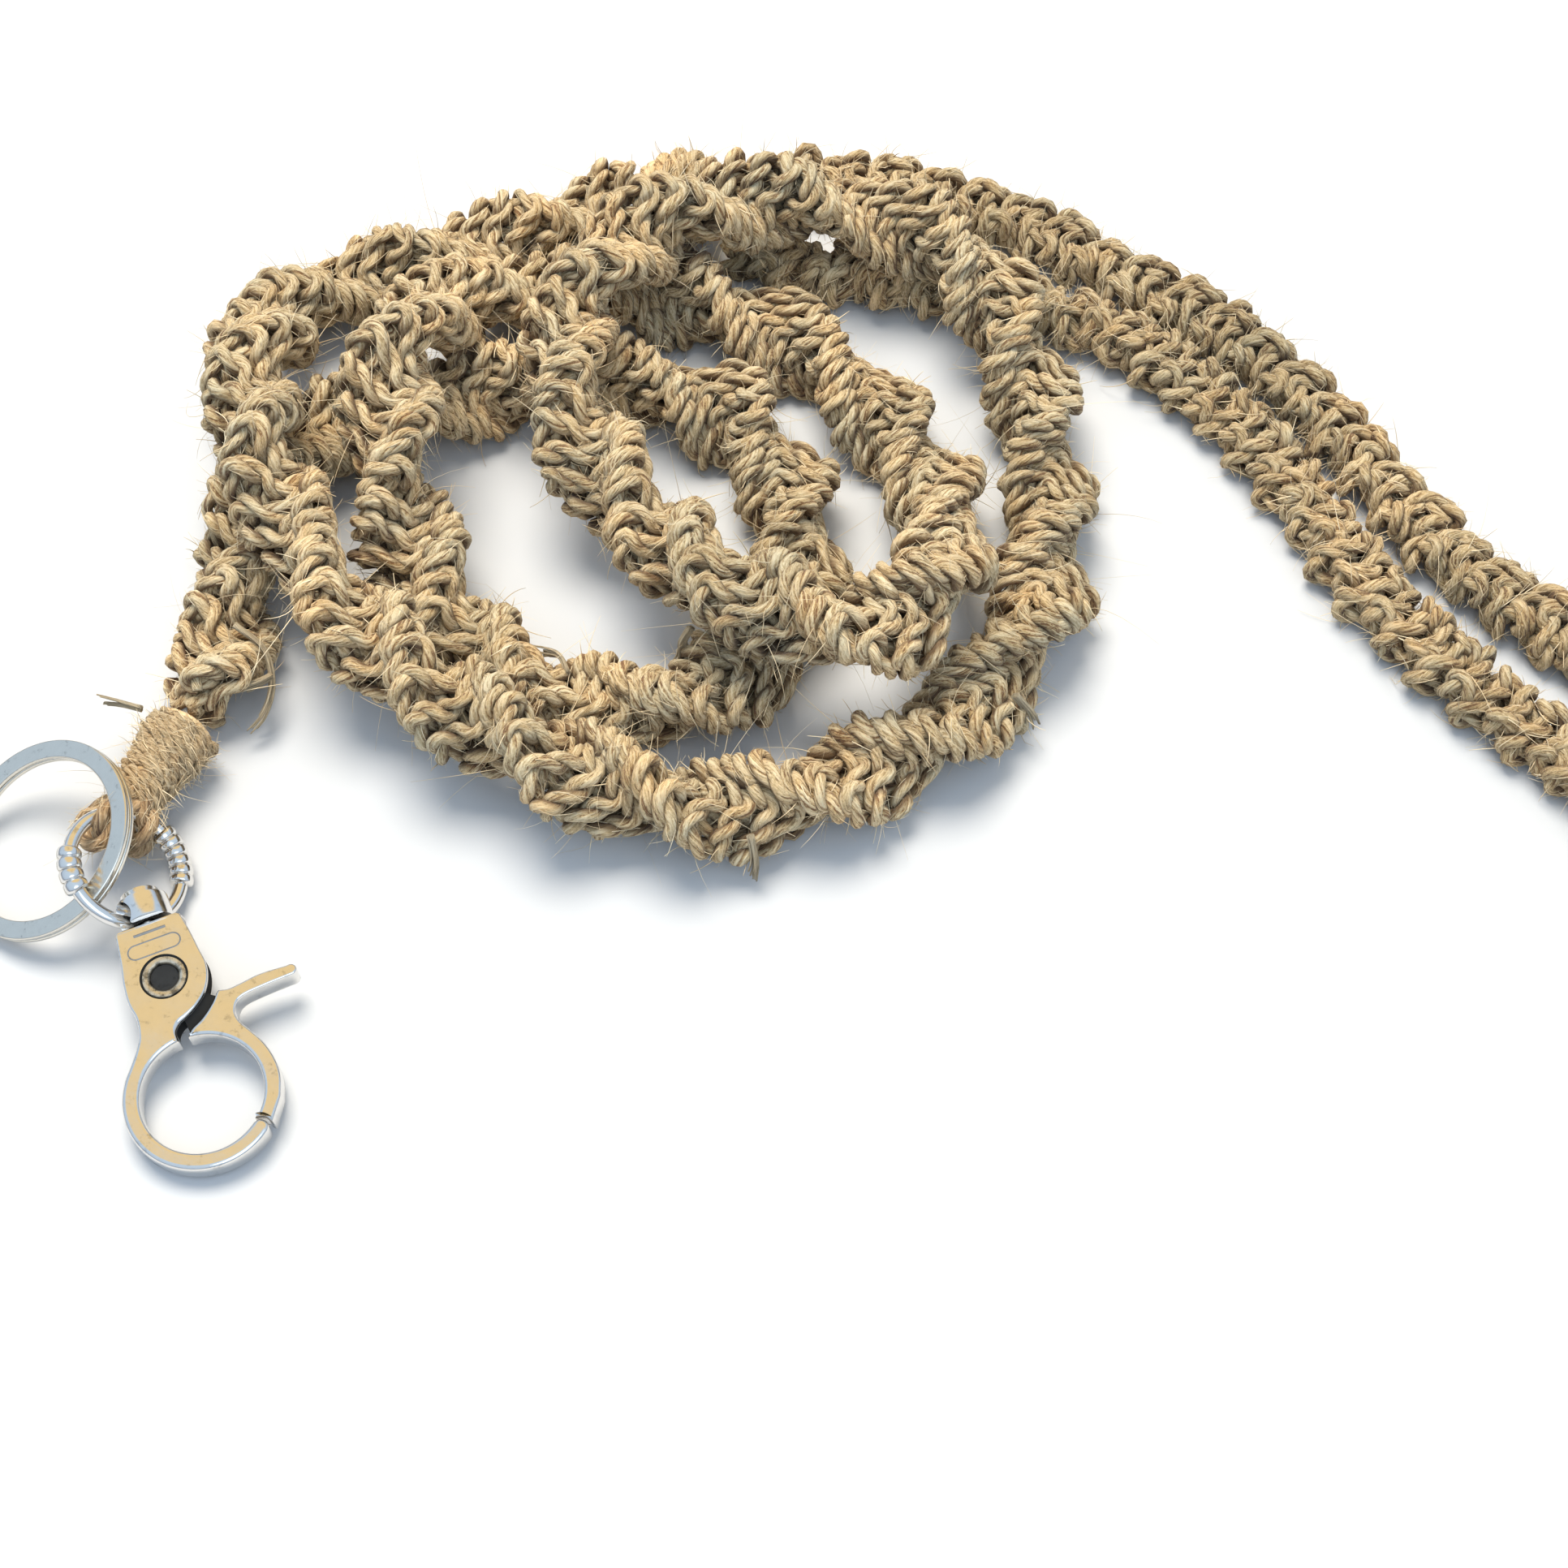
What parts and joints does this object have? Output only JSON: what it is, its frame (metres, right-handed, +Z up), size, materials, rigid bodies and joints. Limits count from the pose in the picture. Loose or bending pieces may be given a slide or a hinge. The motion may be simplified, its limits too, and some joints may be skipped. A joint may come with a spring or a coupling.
{
  "type": "lanyard",
  "caption": "Knotted jute neck lanyard with a whipped cord end, a swivel trigger clasp on a beaded bail ring and a key ring.",
  "frame": {"origin": "on the table, under the centre of the box round the clasp, the rings and the whipped cord end", "axes": "+Z up off the table, +Y from the hook's eye towards the knotted cord, +X towards the neck loop"},
  "size_m": [0.3369, 0.169, 0.0232],
  "materials": {
    "nickel": "bright nickel plate",
    "steel": "polished steel",
    "spring_steel": "satin spring steel",
    "jute": "natural jute twine, hairy",
    "jute_dark": "natural jute twine, worn darker"
  },
  "bodies": {
    "strap": {"cord_eye": "jute_dark", "whipping": "jute", "spiral_sinnet": "jute", "neck_sinnet": "jute", "fork_knot": "jute"},
    "bail": {"bail_ring": "nickel"},
    "key_ring": {"split_ring": "steel"},
    "head": {"swivel_stud": "nickel"},
    "clasp": {"clasp_body": "nickel", "pivot_rivet": "steel", "lever_spring": "spring_steel"},
    "lever": {"trigger_lever": "nickel"}
  },
  "joints": [
    {"name": "bail_swing", "type": "hinge", "parent": "strap", "child": "bail", "pos_m": [-0.00193, 0.0142, 0.00564], "axis": [0.7663, 0.2241, -0.6022], "range_deg": [-20, 90]},
    {"name": "ring_swing", "type": "hinge", "parent": "bail", "child": "key_ring", "pos_m": [-0.00178, 0.00156, 0.0091], "axis": [-0.7747, 0.4827, 0.4085], "range_deg": [-60, 2]},
    {"name": "head_swing", "type": "hinge", "parent": "bail", "child": "head", "pos_m": [0.00331, 0.00117, 0.00562], "axis": [-0.7077, -0.3698, 0.602], "range_deg": [-80, 80]},
    {"name": "hook_spin", "type": "hinge", "parent": "head", "child": "clasp", "pos_m": [0.00344, 0.00125, 0.00564], "axis": [-0.3766, 0.9183, 0.1219], "continuous": true},
    {"name": "lever_open", "type": "hinge", "parent": "clasp", "child": "lever", "pos_m": [0.00679, -0.00692, 0.00455], "axis": [0.0462, -0.1127, 0.9925], "range_deg": [0, 30], "stiffness_Nm_per_rad": 0.02, "springref_deg": -28.65}
  ]
}
